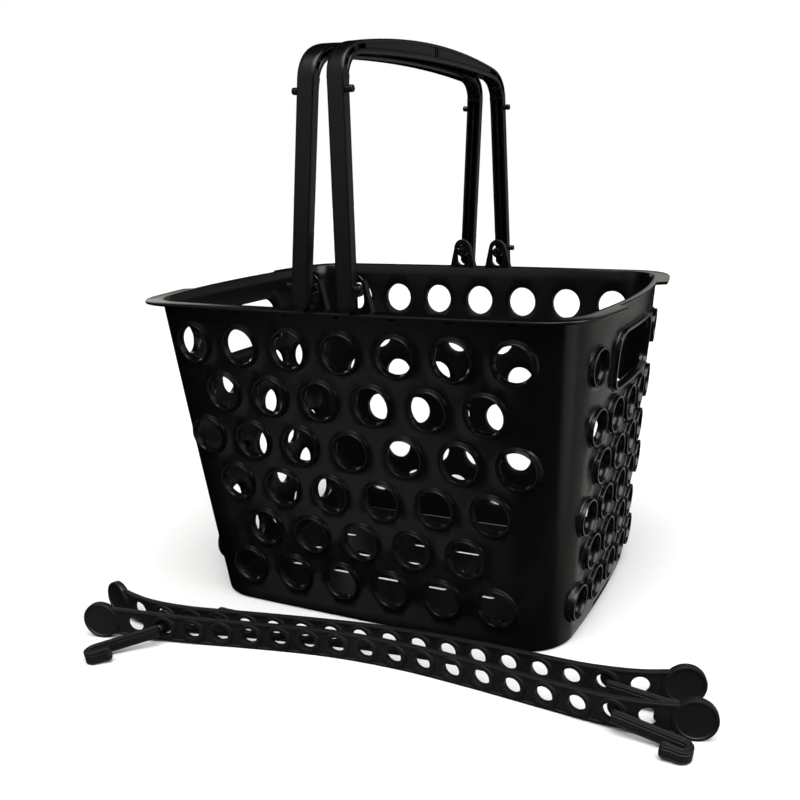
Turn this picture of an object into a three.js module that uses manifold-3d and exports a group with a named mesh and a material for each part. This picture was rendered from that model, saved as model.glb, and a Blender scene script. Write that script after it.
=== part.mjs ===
// Bicycle handlebar basket with two folding bail handles, two rubber fixing straps and their
// four hooks. Millimetres, +Z up. The origin is the centre of the basket's underside, on the
// surface that everything stands on. +X runs along the basket's long side, +Y to its far side.
import * as THREE from "three";
import { mergeVertices } from "three/addons/utils/BufferGeometryUtils.js";
import Module from "manifold-3d";

const wasm = await Module();
wasm.setup();

const rad = THREE.MathUtils.degToRad;

// ---------- driving dimensions ----------

const RIM_Z = 234;                 // top of the rim above the ground
const HALF_X = 163;                // half length of the wall at the rim, at its corners
const HALF_Y = 120;                // half width of the wall at the rim, at its corners
const TAPER = Math.tan(rad(5.2));  // all four walls lean out by this angle
const WALL = 2.5;
const FLOOR = 2.5;
const EDGE = 4;                    // chamfer round the underside
const CORNER_R_TOP = 32;
const CORNER_R_BOTTOM = 34;
const BOW_LONG = { sagitta: 2.5, halfChord: 122.5 };   // the walls bow out a little
const BOW_SHORT = { sagitta: 6.4, halfChord: 81 };
const BOW_AT_BOTTOM = 0.5;         // share of the bow that is left at the ground

const FLANGE_W = 10;
const FLANGE_T = 2.2;
const FLANGE_CORNER_R = 35;
const LIP_W = 2.5;                 // what is left of the flange over the hand slots
const LIP_HALF = 56;               // half length of that narrow stretch

const HOLE_SIDES = 8;
const BORE_PAST = 7;
const LONG_HOLES = {
  first: 29, row: 34.7, pitch: 40, bore: 12.8, counts: [7, 6, 7, 6, 5, 6],
};
const SHORT_HOLES = {
  first: 78, row: 31.75, pitch: 34.3, bore: 11.7, counts: [5, 4, 5, 4, 5],
};
const END_HOLES = { along: 77, down: 36 };             // beside each hand slot
const HAND_SLOT = { half: 45, top: 21, bottom: 58, rTop: 16, rBottom: 9, rim: 3, proud: 3.4 };
const DRAIN = { rows: 5, cols: 6, pitchX: 40, pitchY: 34, length: 24, width: 7 };
const LOW_SLOT = { half: 23, low: 2.6, high: 5.6 };     // in the foot of each short wall
const GUSSET = { half: 0.9, reach: 6, drop: 4 };

const PIVOT_X = 16.5;              // handle pivots, left and right of the middle
const PIVOT_Z = RIM_Z + 13.1;
const EAR = { base: 24, topR: 7.6, height: 24, rib: 2.2, ribW: 2, slotW: 9.9, slotLow: 1.7, slotHigh: 19.5 };

const BAIL = {
  width: 11.7, flange: 2, grip: 3.3, panel: 0.9, panelEnd: 102, pocket: 4,
  side: 1.7, rib: 1.7, channelTop: 118,
  outerY: 137.5, innerY: 130.5, leanIn: Math.tan(rad(2.3)), foot: 12.8,
  crown: 157, crownDrop: 7.1, crownEnd: 105, cornerLow: 127,
  under: 145, underDrop: 3.8, underEnd: 104, underLow: 120,
};
const PIN = { r: 4.2, inner: 118.4 };
const PEG = { r: 2.2, stand: 4.6, low: 2.9, high: 120.2 };
const LEAN_LEFT = 5.2;             // how far each handle leans inwards as it stands, degrees
const LEAN_RIGHT = 0.4;

const STRAP = {
  height: 19.5, thick: 4, discR: 13.25, discT: 5, span: 417.8,
  pitch: 21.4, hole: 5.75, holes: 18,
};
const FRONT_ROUTE = [[-171, -186], [-110, -172], [-60, -160], [-5, -149.7], [47, -146.3],
  [95, -148.2], [150, -152.8], [197, -157], [221, -155.5], [241, -150.5]];
const REAR_ROUTE = [[-183.2, -156.1], [-171, -159.6], [-150, -162.5], [-121, -159.5], [-80, -150.5],
  [-30, -140.5], [25, -131.5], [80, -127.5], [130, -127.2], [178, -128.4], [206, -125.5], [231, -116.5]];

const HOOK = {
  width: 8, thick: 4.5, start: 1.6, shank: 43.7, bend: 5, back: 8, bulb: 2.9,
  neckX: 2.6, neckR: 2.6, headR: 6.6, headT: 2.4, gap: 0.8, slope: rad(8),
};

const PLASTIC = { color: 0x101112, roughness: 0.38, metalness: 0 };
const RUBBER = { color: 0x0c0d0e, roughness: 0.6, metalness: 0 };
const HOOK_PLASTIC = { color: 0x131313, roughness: 0.5, metalness: 0 };

// ---------- helpers ----------

function solid(geometry) {
  const bare = geometry.clone();
  bare.deleteAttribute("normal");
  bare.deleteAttribute("uv");
  const merged = mergeVertices(bare, 1e-3);
  return new wasm.Manifold(new wasm.Mesh({
    numProp: 3,
    vertProperties: new Float32Array(merged.attributes.position.array),
    triVerts: new Uint32Array(merged.index.array),
  }));
}

function joined(solids) {
  return solids.reduce((whole, piece) => whole.add(piece));
}

function meshOf(name, body, look) {
  const result = body.getMesh();
  const geometry = new THREE.BufferGeometry();
  geometry.setAttribute("position", new THREE.BufferAttribute(new Float32Array(result.vertProperties), 3));
  geometry.setIndex(new THREE.BufferAttribute(new Uint32Array(result.triVerts), 1));
  geometry.computeVertexNormals();
  const mesh = new THREE.Mesh(geometry, new THREE.MeshStandardMaterial(look));
  mesh.name = name;
  return mesh;
}

function box(x0, x1, y0, y1, z0, z1) {
  const geometry = new THREE.BoxGeometry(x1 - x0, y1 - y0, z1 - z0);
  return solid(geometry.translate((x0 + x1) / 2, (y0 + y1) / 2, (z0 + z1) / 2));
}

// A prism of the given sides from start to end.
function rod(start, end, radius, sides) {
  const along = end.clone().sub(start);
  const geometry = new THREE.CylinderGeometry(radius, radius, along.length(), sides);
  const up = new THREE.Vector3(0, 1, 0);
  const turn = new THREE.Quaternion().setFromUnitVectors(up, along.clone().normalize());
  geometry.applyQuaternion(turn);
  const middle = start.clone().add(end).multiplyScalar(0.5);
  return solid(geometry.translate(middle.x, middle.y, middle.z));
}

function extrude(shape, depth, segments = 6) {
  return new THREE.ExtrudeGeometry(shape, { depth, steps: 1, curveSegments: segments, bevelEnabled: false });
}

// A shape drawn in X and Z, made solid between two Y values.
function standing(shape, y0, y1, segments) {
  return solid(extrude(shape, y1 - y0, segments).rotateX(Math.PI / 2).translate(0, y1, 0));
}

// ---------- basket ----------

// The wall's outline at height z is four shallow arcs joined by four corner arcs.
function wallArcs(z, out, cornerR) {
  const down = RIM_Z - z;
  const bow = 1 - (1 - BOW_AT_BOTTOM) * (down / RIM_Z);
  const longR = BOW_LONG.halfChord ** 2 / (2 * BOW_LONG.sagitta * bow);
  const shortR = BOW_SHORT.halfChord ** 2 / (2 * BOW_SHORT.sagitta * bow);
  const longC = HALF_Y - down * TAPER + BOW_LONG.sagitta * bow - longR;
  const shortC = HALF_X - down * TAPER + BOW_SHORT.sagitta * bow - shortR;
  const toShort = shortR + out - cornerR;
  const toLong = longR + out - cornerR;
  const apart = Math.hypot(shortC, longC);
  const along = (toShort ** 2 - toLong ** 2 + apart ** 2) / (2 * apart);
  const aside = Math.sqrt(toShort ** 2 - along ** 2);
  const ux = -shortC / apart;
  const uy = longC / apart;
  const cx = shortC + along * ux - aside * uy;
  const cy = along * uy + aside * ux;
  const corner = cx > 0 && cy > 0 ? [cx, cy] : [shortC + along * ux + aside * uy, along * uy - aside * ux];
  return { longR: longR + out, shortR: shortR + out, longC, shortC, corner, cornerR };
}

function cornerRadius(z) {
  return CORNER_R_TOP + (CORNER_R_BOTTOM - CORNER_R_TOP) * (1 - z / RIM_Z);
}

function outline(z, out, cornerR = cornerRadius(z) + out) {
  const a = wallArcs(z, out, cornerR);
  const start = Math.atan2(a.corner[1], a.corner[0] - a.shortC);
  const end = Math.atan2(a.corner[1] - a.longC, a.corner[0]);
  const quarter = [];
  const arc = (cx, cy, r, from, to, count) => {
    for (let i = 0; i < count; i++) {
      const t = from + (to - from) * (i / count);
      quarter.push(new THREE.Vector2(cx + r * Math.cos(t), cy + r * Math.sin(t)));
    }
  };
  arc(a.shortC, 0, a.shortR, 0, start, 3);
  arc(a.corner[0], a.corner[1], a.cornerR, start, end, 5);
  arc(0, a.longC, a.longR, end, Math.PI / 2, 3);
  quarter.push(new THREE.Vector2(0, a.longC + a.longR));
  const mirror = (sx, sy) => quarter.map((p) => new THREE.Vector2(sx * p.x, sy * p.y));
  return [
    ...quarter,
    ...mirror(-1, 1).reverse().slice(1),
    ...mirror(-1, -1).slice(1),
    ...mirror(1, -1).reverse().slice(1, -1),
  ];
}

// A closed solid through one outline at each level, all with the same number of points.
function loft(levels) {
  const base = levels[0].points;
  const steps = levels.length - 1;
  const options = { depth: steps, steps, bevelEnabled: false };
  const geometry = new THREE.ExtrudeGeometry(new THREE.Shape(base), options);
  const key = (x, y) => `${x.toFixed(2)},${y.toFixed(2)}`;
  const order = new Map(base.map((p, i) => [key(p.x, p.y), i]));
  const place = geometry.attributes.position;
  for (let i = 0; i < place.count; i++) {
    const level = levels[Math.round(place.getZ(i))];
    const point = level.points[order.get(key(place.getX(i), place.getY(i)))];
    place.setXYZ(i, point.x, point.y, level.z);
  }
  return solid(geometry);
}

// A point on the outside of a long wall, u along it and s down its slope, with its normal.
function longWall(u, s) {
  const slope = Math.atan(TAPER);
  const z = RIM_Z - s * Math.cos(slope);
  const a = wallArcs(z, 0, cornerRadius(z));
  const reach = Math.sqrt(a.longR ** 2 - u ** 2);
  const normal = new THREE.Vector3(u / a.longR, reach / a.longR, -TAPER).normalize();
  return { point: new THREE.Vector3(u, a.longC + reach, z), normal };
}

function shortWall(u, s) {
  const slope = Math.atan(TAPER);
  const z = RIM_Z - s * Math.cos(slope);
  const a = wallArcs(z, 0, cornerRadius(z));
  const reach = Math.sqrt(a.shortR ** 2 - u ** 2);
  const normal = new THREE.Vector3(reach / a.shortR, u / a.shortR, -TAPER).normalize();
  return { point: new THREE.Vector3(a.shortC + reach, u, z), normal };
}

// Every hole of the four walls: where it is, which way it faces and its radius.
function wallHoles() {
  const holes = [];
  const rows = (wall, plan) => plan.counts.forEach((count, row) => {
    for (let i = 0; i < count; i++) {
      const spot = wall((i - (count - 1) / 2) * plan.pitch, plan.first + row * plan.row);
      holes.push({ ...spot, bore: plan.bore });
    }
  });
  rows(longWall, LONG_HOLES);
  rows(shortWall, SHORT_HOLES);
  for (const side of [-1, 1]) {
    const spot = shortWall(side * END_HOLES.along, END_HOLES.down);
    holes.push({ ...spot, bore: SHORT_HOLES.bore });
  }
  const flip = (v) => new THREE.Vector3(-v.x, -v.y, v.z);
  return holes.flatMap((h) => [h, { ...h, point: flip(h.point), normal: flip(h.normal) }]);
}

function holeRod(hole, radius, from, to) {
  const at = (d) => hole.point.clone().addScaledVector(hole.normal, d);
  return rod(at(from), at(to), radius, HOLE_SIDES);
}

// The hand slot's outline in Y and Z, grown by a margin: wide round shoulders, smaller feet.
function slotShape(margin) {
  const half = HAND_SLOT.half + margin;
  const top = RIM_Z - HAND_SLOT.top + margin;
  const bottom = RIM_Z - HAND_SLOT.bottom - margin;
  const rTop = HAND_SLOT.rTop + margin;
  const rLow = HAND_SLOT.rBottom + margin;
  const shape = new THREE.Shape();
  shape.moveTo(-half + rLow, bottom);
  shape.lineTo(half - rLow, bottom);
  shape.quadraticCurveTo(half, bottom, half, bottom + rLow);
  shape.lineTo(half, top - rTop);
  shape.quadraticCurveTo(half, top, half - rTop, top);
  shape.lineTo(-half + rTop, top);
  shape.quadraticCurveTo(-half, top, -half, top - rTop);
  shape.lineTo(-half, bottom + rLow);
  shape.quadraticCurveTo(-half, bottom, -half + rLow, bottom);
  return shape;
}

function slotBlock(margin, x0, x1) {
  const geometry = extrude(slotShape(margin), x1 - x0, 4).rotateX(Math.PI / 2).rotateZ(Math.PI / 2);
  return solid(geometry.translate(x0, 0, 0));
}

// The short wall's own shell, a little proud, for the hand slot's raised border.
function slotBorders() {
  const proud = loft([RIM_Z - 70, RIM_Z - 8].map((z) => ({ z, points: outline(z, HAND_SLOT.proud) })));
  const blocks = [HALF_X, -HALF_X].map((x) => slotBlock(HAND_SLOT.rim, x - 20, x + 20));
  return joined(blocks).intersect(proud);
}

function flange() {
  const faces = [RIM_Z - FLANGE_T, RIM_Z];
  const plate = loft(faces.map((z) => ({ z, points: outline(z, FLANGE_W, FLANGE_CORNER_R) })));
  const lip = loft(faces.map((z) => ({ z, points: outline(z, LIP_W) })));
  const far = HALF_X + 40;
  const ends = box(HALF_X - 30, far, -LIP_HALF, LIP_HALF, RIM_Z - 9, RIM_Z + 9)
    .add(box(-far, 30 - HALF_X, -LIP_HALF, LIP_HALF, RIM_Z - 9, RIM_Z + 9));
  return plate.subtract(ends).add(lip);
}

// A thin triangular web under the flange above each hole of the top row.
function gussets() {
  const shape = new THREE.Shape();
  shape.moveTo(-WALL / 2, RIM_Z - 1);
  shape.lineTo(GUSSET.reach, RIM_Z - 1);
  shape.lineTo(-WALL / 2, RIM_Z - FLANGE_T - GUSSET.drop);
  const webs = [];
  for (const side of [-1, 1]) {
    for (let i = -3; i <= 3; i++) {
      const wall = longWall(i * LONG_HOLES.pitch, 1).point.y;
      const web = extrude(shape, 2 * GUSSET.half).rotateX(Math.PI / 2).rotateZ(side * Math.PI / 2);
      const offset = side * GUSSET.half;
      webs.push(solid(web.translate(i * LONG_HOLES.pitch + offset, side * wall, 0)));
    }
  }
  return joined(webs);
}

function earShape(inset) {
  const half = EAR.base / 2 - inset;
  const r = EAR.topR - inset;
  const centre = RIM_Z + EAR.height - EAR.topR;
  const low = RIM_Z - 1;
  const lean = Math.atan2(half - r, centre - low);
  const shape = new THREE.Shape();
  shape.moveTo(-half, low);
  shape.lineTo(half, low);
  shape.absarc(0, centre, r, lean, Math.PI - lean, false);
  shape.lineTo(-half, low);
  return shape;
}

function slotHole() {
  const r = EAR.slotW / 2;
  const hole = new THREE.Shape();
  hole.absarc(0, RIM_Z + EAR.slotHigh - r, r, 0, Math.PI, false);
  hole.absarc(0, RIM_Z + EAR.slotLow + r, r, Math.PI, 2 * Math.PI, false);
  return hole;
}

// One ear on the +Y wall: a plate in line with the wall and a rib round its outer edge.
function ear() {
  const outer = longWall(PIVOT_X, 0).point.y;
  const plate = standing(earShape(0), outer - WALL, outer, 5);
  const rib = standing(earShape(0), outer - 0.5, outer + EAR.rib, 5)
    .subtract(standing(earShape(EAR.ribW), outer - 1, outer + 9, 5));
  const foot = box(-99, 99, 0, 999, 0, RIM_Z - FLANGE_T / 2);
  return plate.add(rib).subtract(standing(slotHole(), outer - 9, outer + 9, 5)).subtract(foot);
}

function ears() {
  const one = ear();
  const pair = one.translate([PIVOT_X, 0, 0]).add(one.translate([-PIVOT_X, 0, 0]));
  return pair.add(pair.rotate([0, 0, 180]));
}

function drains() {
  const slots = [];
  const half = (DRAIN.length - DRAIN.width) / 2;
  for (let i = 0; i < DRAIN.cols; i++) {
    for (let j = 0; j < DRAIN.rows; j++) {
      const x = (i - (DRAIN.cols - 1) / 2) * DRAIN.pitchX;
      const y = (j - (DRAIN.rows - 1) / 2) * DRAIN.pitchY;
      slots.push(box(x - half, x + half, y - DRAIN.width / 2, y + DRAIN.width / 2, -1, FLOOR + 1));
    }
  }
  const far = HALF_X + 20;
  slots.push(box(HALF_X - 36, far, -LOW_SLOT.half, LOW_SLOT.half, LOW_SLOT.low, LOW_SLOT.high));
  slots.push(box(-far, 36 - HALF_X, -LOW_SLOT.half, LOW_SLOT.half, LOW_SLOT.low, LOW_SLOT.high));
  return joined(slots);
}

function basketBody() {
  const outside = loft([
    { z: 0, points: outline(0, -EDGE) },
    { z: EDGE, points: outline(EDGE, 0) },
    { z: RIM_Z, points: outline(RIM_Z, 0) },
  ]);
  const inside = loft([
    { z: FLOOR, points: outline(FLOOR, -WALL - EDGE / 2) },
    { z: FLOOR + EDGE / 2, points: outline(FLOOR + EDGE / 2, -WALL) },
    { z: RIM_Z + 2, points: outline(RIM_Z + 2, -WALL) },
  ]);
  const holes = wallHoles();
  const bores = joined(holes.map((h) => holeRod(h, h.bore, -16, BORE_PAST)));
  const slots = slotBlock(0, HALF_X - 40, HALF_X + 40).add(slotBlock(0, -HALF_X - 40, 40 - HALF_X));
  return outside
    .add(slotBorders()).add(flange()).add(gussets())
    .subtract(inside).add(ears())
    .subtract(bores).subtract(slots).subtract(drains());
}

// ---------- handles ----------

// The bail in Y and Z about its pivot: two legs that lean in, round corners, a crowned top.
// The insets leave the flanges standing when the result is used as a recess.
function bailShape(outerInset, legInset, gripInset, footZ) {
  const outerAt = (z) => BAIL.outerY - outerInset - z * BAIL.leanIn;
  const innerAt = (z) => BAIL.innerY + legInset - z * BAIL.leanIn;
  const top = BAIL.crown - outerInset;
  const end = top - BAIL.crownDrop;
  const crownEnd = BAIL.crownEnd - outerInset / 2;
  const outerCorner = end - 2 * BAIL.crownDrop * (outerAt(end) / crownEnd - 1);
  const under = BAIL.under + gripInset;
  const underEnd = under - BAIL.underDrop;
  const underEndY = BAIL.underEnd + legInset;
  const shape = new THREE.Shape();
  shape.moveTo(outerAt(footZ), footZ);
  shape.lineTo(outerAt(BAIL.cornerLow), BAIL.cornerLow);
  shape.quadraticCurveTo(outerAt(outerCorner), outerCorner, crownEnd, end);
  shape.quadraticCurveTo(0, top + BAIL.crownDrop, -crownEnd, end);
  shape.quadraticCurveTo(-outerAt(outerCorner), outerCorner, -outerAt(BAIL.cornerLow), BAIL.cornerLow);
  shape.lineTo(-outerAt(footZ), footZ);
  shape.lineTo(-innerAt(footZ), footZ);
  shape.lineTo(-innerAt(BAIL.underLow), BAIL.underLow);
  shape.quadraticCurveTo(-innerAt(underEnd), underEnd - 0.5, -underEndY, underEnd);
  shape.quadraticCurveTo(0, under + BAIL.underDrop, underEndY, underEnd);
  shape.quadraticCurveTo(innerAt(underEnd), underEnd - 0.5, innerAt(BAIL.underLow), BAIL.underLow);
  shape.lineTo(innerAt(footZ), footZ);
  return shape;
}

// A shape drawn in Y and Z, made solid between two X values.
function sideways(shape, x0, x1, segments) {
  const geometry = extrude(shape, x1 - x0, segments).rotateX(Math.PI / 2).rotateZ(Math.PI / 2);
  return solid(geometry.translate(x0, 0, 0));
}

// The hollow of one leg: two channels, open to the inside, either side of a middle rib.
function legChannels(side) {
  const low = -BAIL.foot / 2;
  const high = BAIL.channelTop;
  const outer = (z) => side * (BAIL.outerY - BAIL.flange - z * BAIL.leanIn);
  const inner = (z) => side * (BAIL.innerY - 5 - z * BAIL.leanIn);
  const shape = new THREE.Shape();
  shape.moveTo(outer(low), low);
  shape.lineTo(outer(high), high);
  shape.lineTo(inner(high), high);
  shape.lineTo(inner(low), low);
  const near = BAIL.rib / 2;
  const far = BAIL.width / 2 - BAIL.side;
  return sideways(shape, near, far, 1).add(sideways(shape, -far, -near, 1));
}

// One handle about its pivot line, upright, its pegs pointing to +X or -X.
function handle(pegSide) {
  const half = BAIL.width / 2;
  const hollow = bailShape(BAIL.flange, BAIL.flange, BAIL.grip, -BAIL.foot / 2);
  const panel = half - BAIL.panel;
  const pocket = half - BAIL.pocket;
  const end = BAIL.panelEnd;
  const middle = box(-half - 2, half + 2, -end, end, BAIL.channelTop, 200);
  const ends = box(-half - 2, half + 2, end, 200, BAIL.channelTop + 3, 200)
    .add(box(-half - 2, half + 2, -200, -end, BAIL.channelTop + 3, 200));
  const recess = (x) => sideways(hollow, x, half + 1, 5).add(sideways(hollow, -half - 1, -x, 5));
  const bail = sideways(bailShape(0, 0, 0, -BAIL.foot), -half, half, 5)
    .subtract(recess(panel).intersect(middle))
    .subtract(recess(pocket).intersect(ends))
    .subtract(legChannels(1).add(legChannels(-1)));
  const footRound = rod(new THREE.Vector3(0, -200, 0), new THREE.Vector3(0, 200, 0), BAIL.foot, 24);
  const rounded = bail.intersect(footRound.add(box(-half - 1, half + 1, -200, 200, 0, 200)));
  const fittings = [];
  for (const side of [-1, 1]) {
    const at = (x, y, z) => new THREE.Vector3(x, side * y, z);
    fittings.push(rod(at(0, PIN.inner, 0), at(0, BAIL.outerY - 1, 0), PIN.r, 12));
    for (const z of [PEG.low, PEG.high]) {
      const y = (BAIL.outerY + BAIL.innerY) / 2 - z * BAIL.leanIn;
      fittings.push(rod(at(0, y, z), at(pegSide * (half + PEG.stand), y, z), PEG.r, 8));
    }
  }
  return rounded.add(joined(fittings));
}

function placedHandle(name, side, lean) {
  const mesh = meshOf(name, handle(side), PLASTIC);
  mesh.position.set(side * PIVOT_X, 0, PIVOT_Z);
  mesh.rotation.y = -side * rad(lean);
  return mesh;
}

// ---------- straps ----------

function route(points) {
  return new THREE.CatmullRomCurve3(points.map(([x, y]) => new THREE.Vector3(x, y, 0)), false, "centripetal");
}

// The strap stands on its long edge; its ends ride up because the discs are taller than it.
function riseAt(s) {
  const fromEnd = Math.min(s, STRAP.span - s);
  const lift = STRAP.discR - STRAP.height / 2;
  return STRAP.height / 2 + lift * Math.exp(-((Math.max(fromEnd, 0) / 55) ** 2));
}

// The place on a route at length s: a point at mid height, its direction and its front normal.
function along(curve, s) {
  const total = curve.getLength();
  const inside = THREE.MathUtils.clamp(s, 0, STRAP.span);
  const t = THREE.MathUtils.clamp(inside / total, 0, 1);
  const direction = curve.getTangentAt(t);
  const point = curve.getPointAt(t).addScaledVector(direction, s - inside);
  point.z = riseAt(s);
  return { point, direction, front: new THREE.Vector3(direction.y, -direction.x, 0) };
}

function holeAt(i) {
  return (STRAP.span - (STRAP.holes - 1) * STRAP.pitch) / 2 + i * STRAP.pitch;
}

// A band bent along the route, a disc on each end and a row of holes.
function strap(name, points) {
  const curve = route(points);
  const band = new THREE.BoxGeometry(STRAP.span, STRAP.thick, STRAP.height, STRAP.holes + 2, 1, 1);
  const place = band.attributes.position;
  for (let i = 0; i < place.count; i++) {
    const spot = along(curve, place.getX(i) + STRAP.span / 2);
    const p = spot.point.addScaledVector(spot.front, -place.getY(i));
    place.setXYZ(i, p.x, p.y, p.z + place.getZ(i));
  }
  const across = (s, reach, radius, sides) => {
    const { point, front } = along(curve, s);
    const end = (d) => point.clone().addScaledVector(front, d);
    return rod(end(-reach), end(reach), radius, sides);
  };
  const disc = (s) => across(s, STRAP.discT / 2, STRAP.discR, 20);
  const holes = [];
  for (let i = 0; i < STRAP.holes; i++) holes.push(across(holeAt(i), STRAP.thick, STRAP.hole, HOLE_SIDES));
  return meshOf(name, solid(band).add(disc(0)).add(disc(STRAP.span)).subtract(joined(holes)), RUBBER);
}

// ---------- hooks ----------

// The hook from above: shank along +X, a round bend, and a short way back to a swollen tip.
function hookShape() {
  const half = HOOK.thick / 2;
  const outer = HOOK.bend + half;
  const inner = HOOK.bend - half;
  const back = HOOK.shank - HOOK.back;
  const shape = new THREE.Shape();
  shape.moveTo(HOOK.start, -half);
  shape.lineTo(HOOK.shank - 1, -half);
  shape.absarc(HOOK.shank, HOOK.bend, outer, -Math.PI / 2, Math.PI / 2, false);
  shape.absarc(back, 2 * HOOK.bend, HOOK.bulb, Math.PI / 3, (5 * Math.PI) / 3, false);
  shape.absarc(HOOK.shank, HOOK.bend, inner, Math.PI / 2, -Math.PI / 2, true);
  shape.lineTo(HOOK.start, half);
  return shape;
}

// One hook about the middle of its strap hole: X out along the shank, Y away from the strap.
function hook(turn) {
  const face = STRAP.thick / 2 + HOOK.gap;
  const bar = solid(extrude(hookShape(), HOOK.width, 5).translate(0, 0, -HOOK.width / 2)
    .rotateY(HOOK.slope).rotateZ(turn).translate(0, face + HOOK.thick / 2, 0));
  const back = -face - HOOK.headT;
  const at = (y) => new THREE.Vector3(HOOK.neckX, y, 0);
  const neck = rod(at(back + 0.5), at(face + HOOK.thick / 2), HOOK.neckR, 8);
  const head = rod(at(back), at(-face), HOOK.headR, 12);
  return bar.add(neck).add(head);
}

// Puts a hook into hole i of a strap. It runs to the strap's end (1) or start (-1), on the
// strap's front (1) or back (-1).
function placedHook(name, points, i, end, face, turn) {
  const spot = along(route(points), holeAt(i));
  let body = hook(turn);
  if (end === face) body = body.mirror([1, 0, 0]);
  const mesh = meshOf(name, body, HOOK_PLASTIC);
  const out = spot.front.clone().multiplyScalar(face);
  const run = new THREE.Vector3(out.y, -out.x, 0);
  const frame = new THREE.Matrix4().makeBasis(run, out, new THREE.Vector3(0, 0, 1));
  const place = mesh.geometry.attributes.position;
  const p = new THREE.Vector3();
  for (let k = 0; k < place.count; k++) {
    p.fromBufferAttribute(place, k).applyMatrix4(frame).add(spot.point);
    place.setXYZ(k, p.x, p.y, p.z);
  }
  mesh.geometry.computeVertexNormals();
  return mesh;
}

// ---------- the whole part ----------

const part = new THREE.Group();
part.add(meshOf("basket_body", basketBody(), PLASTIC));
part.add(placedHandle("handle_left", -1, LEAN_LEFT));
part.add(placedHandle("handle_right", 1, LEAN_RIGHT));
part.add(strap("strap_front", FRONT_ROUTE));
part.add(strap("strap_rear", REAR_ROUTE));
part.add(placedHook("hook_front_left", FRONT_ROUTE, 1, -1, 1, rad(30)));
part.add(placedHook("hook_front_right", FRONT_ROUTE, STRAP.holes - 2, 1, 1, rad(3)));
part.add(placedHook("hook_rear_left", REAR_ROUTE, 1, 1, -1, rad(9)));
part.add(placedHook("hook_rear_right", REAR_ROUTE, STRAP.holes - 2, 1, 1, rad(1)));

export default part;
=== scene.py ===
# Looks of the handlebar basket: walls with collared holes, two bail handles, two rubber straps
# and four hooks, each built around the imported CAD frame. Lengths below are millimetres.
import math

import bmesh
import bpy
import numpy as np
from mathutils import Matrix, Vector
from mathutils.geometry import delaunay_2d_cdt


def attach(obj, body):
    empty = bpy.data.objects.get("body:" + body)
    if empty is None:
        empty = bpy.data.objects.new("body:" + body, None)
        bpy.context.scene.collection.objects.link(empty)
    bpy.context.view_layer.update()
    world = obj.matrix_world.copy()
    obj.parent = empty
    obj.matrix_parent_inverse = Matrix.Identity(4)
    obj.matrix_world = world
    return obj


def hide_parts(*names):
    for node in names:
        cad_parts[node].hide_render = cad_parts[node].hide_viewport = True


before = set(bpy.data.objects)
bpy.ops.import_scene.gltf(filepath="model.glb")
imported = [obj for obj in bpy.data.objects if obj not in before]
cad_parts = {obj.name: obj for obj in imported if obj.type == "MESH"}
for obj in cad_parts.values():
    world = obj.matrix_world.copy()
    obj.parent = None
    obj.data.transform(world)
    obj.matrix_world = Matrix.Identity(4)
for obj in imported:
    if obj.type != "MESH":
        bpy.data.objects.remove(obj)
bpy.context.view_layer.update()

# ---------- driving dimensions, the same as the CAD's ----------

RIM_Z = 234.0
HALF_X, HALF_Y = 163.0, 120.0
TAPER = math.tan(math.radians(5.2))
WALL, FLOOR = 2.5, 2.5
CORNER_TOP, CORNER_BOTTOM = 32.0, 34.0
LONG_SAG, LONG_CHORD = 2.5, 122.5
SHORT_SAG, SHORT_CHORD = 6.4, 81.0
BOW_AT_BOTTOM = 0.5
FLANGE_W, FLANGE_T, FLANGE_CORNER = 10.0, 2.2, 35.0
LIP_W, LIP_HALF = 2.5, 56.0
LONG_FIRST, LONG_ROW, LONG_PITCH, LONG_COUNTS = 29.0, 34.7, 40.0, (7, 6, 7, 6, 5, 6)
SHORT_FIRST, SHORT_ROW, SHORT_PITCH, SHORT_COUNTS = 78.0, 31.75, 34.3, (5, 4, 5, 4, 5)
END_ALONG, END_DOWN = 77.0, 36.0                        # the holes beside each hand slot
SLOT_HALF_Y, SLOT_TOP, SLOT_BOTTOM, SLOT_R_TOP, SLOT_R_LOW = 45.0, 21.0, 58.0, 16.0, 9.0
DRAIN_COLS, DRAIN_ROWS, DRAIN_PITCH, DRAIN_R, DRAIN_STRAIGHT = 6, 5, (40.0, 34.0), 3.5, 8.5
GUSSET_HALF, GUSSET_REACH, GUSSET_DROP = 0.9, 6.0, 4.0
PIVOT_X, PIVOT_Z = 16.5, RIM_Z + 13.1

# ---------- mesh helpers ----------


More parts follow.
